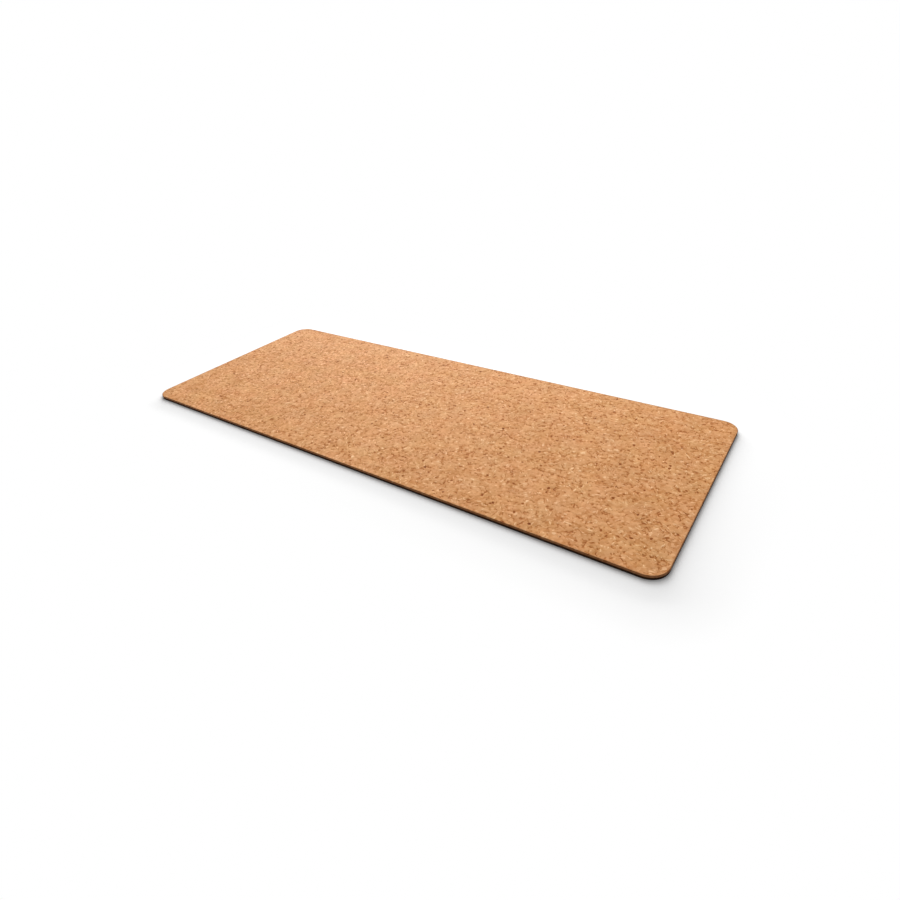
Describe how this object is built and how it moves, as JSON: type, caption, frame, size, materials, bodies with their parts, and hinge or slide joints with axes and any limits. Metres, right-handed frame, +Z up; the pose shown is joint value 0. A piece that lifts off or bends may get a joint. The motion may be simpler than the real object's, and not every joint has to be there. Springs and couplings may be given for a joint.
{
  "type": "cork desk mat",
  "caption": "Flat rectangular desk mat with rounded corners: a pressed-cork working surface bonded to a dark non-slip rubber base, laid loose on a desk.",
  "frame": {"origin": "centre of the underside, where the mat rests on the desk", "axes": "+X along the long side, +Y along the short side, +Z up out of the cork"},
  "size_m": [0.75, 0.3, 0.005],
  "materials": {
    "rubber": "matte",
    "adhesive": "satin",
    "cork": "matte"
  },
  "bodies": {
    "root": {"rubber_base": "rubber", "bond_film": "adhesive", "cork_top": "cork"}
  },
  "joints": []
}
